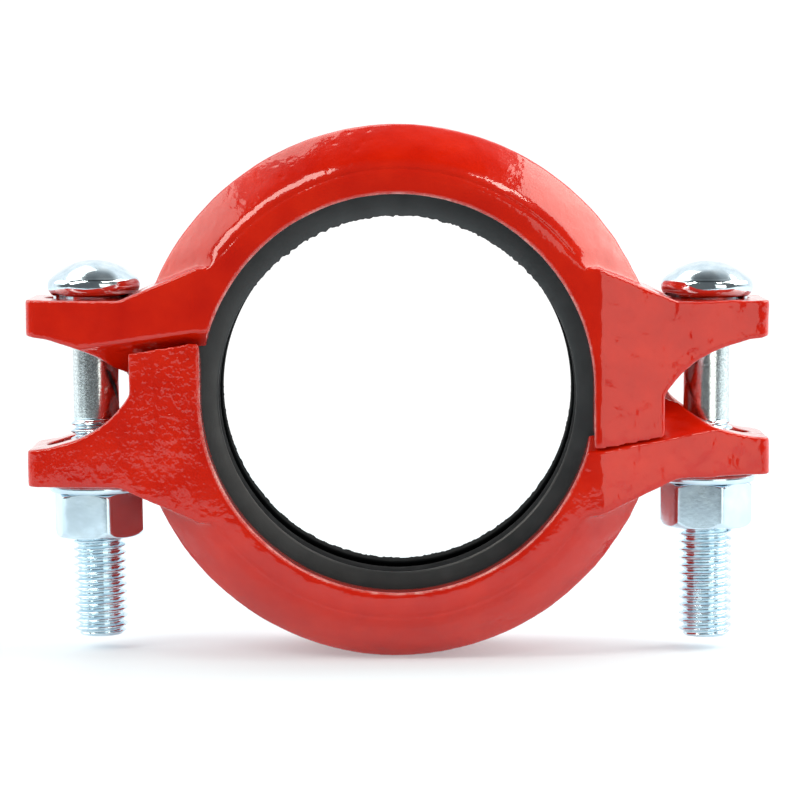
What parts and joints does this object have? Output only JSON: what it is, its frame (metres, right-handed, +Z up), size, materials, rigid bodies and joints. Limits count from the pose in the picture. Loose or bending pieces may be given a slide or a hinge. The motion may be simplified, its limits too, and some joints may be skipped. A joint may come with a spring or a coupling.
{
  "type": "rigid grooved pipe coupling",
  "caption": "Two-part red ring clamp for grooved pipe ends, with sloped bolt pads, a rubber seal ring, and a bolt, washer and nut through each pair of ears.",
  "frame": {"origin": "centre of the bore, on the pipe axis, midway between the two faces", "axes": "+Y along the pipe axis away from the front face, +X from the left bolt to the right bolt, +Z up along the bolts towards their heads"},
  "size_m": [0.1623, 0.047, 0.1158],
  "materials": {
    "red_paint": "glossy red enamel over as-cast ductile iron",
    "black_rubber": "matt moulded rubber",
    "zinc_plate": "bright blue-white zinc plate on steel"
  },
  "bodies": {
    "lower_housing": {"lower_housing": "red_paint", "gasket": "black_rubber", "left_washer": "zinc_plate", "right_washer": "zinc_plate"},
    "upper_housing": {"upper_housing": "red_paint", "right_bolt": "zinc_plate"},
    "left_bolt": {"left_bolt": "zinc_plate"},
    "left_nut": {"left_nut": "zinc_plate"},
    "right_nut": {"right_nut": "zinc_plate"}
  },
  "joints": [
    {"name": "left_nut_turn", "type": "hinge", "parent": "lower_housing", "child": "left_nut", "pos_m": [-0.0668, 0, 0.0204], "axis": [0.0175, 0, -0.9998], "range_deg": [0, 3600]},
    {"name": "right_nut_turn", "type": "hinge", "parent": "lower_housing", "child": "right_nut", "pos_m": [0.0682, 0, 0.0204], "axis": [0, 0, -1], "range_deg": [0, 3600]},
    {"name": "upper_lift", "type": "slide", "parent": "lower_housing", "child": "upper_housing", "axis": [0, 0, 1], "range_m": [0, 0.0175]},
    {"name": "left_bolt_lift", "type": "slide", "parent": "lower_housing", "child": "left_bolt", "axis": [-0.0175, 0, 0.9998], "range_m": [0, 0.0175]}
  ],
  "couplings": [
    {"joint": "left_nut_turn", "follows": "upper_lift", "rad_per_m": 3590.4},
    {"joint": "right_nut_turn", "follows": "upper_lift", "rad_per_m": 3590.4},
    {"joint": "left_bolt_lift", "follows": "upper_lift", "ratio": 1}
  ]
}
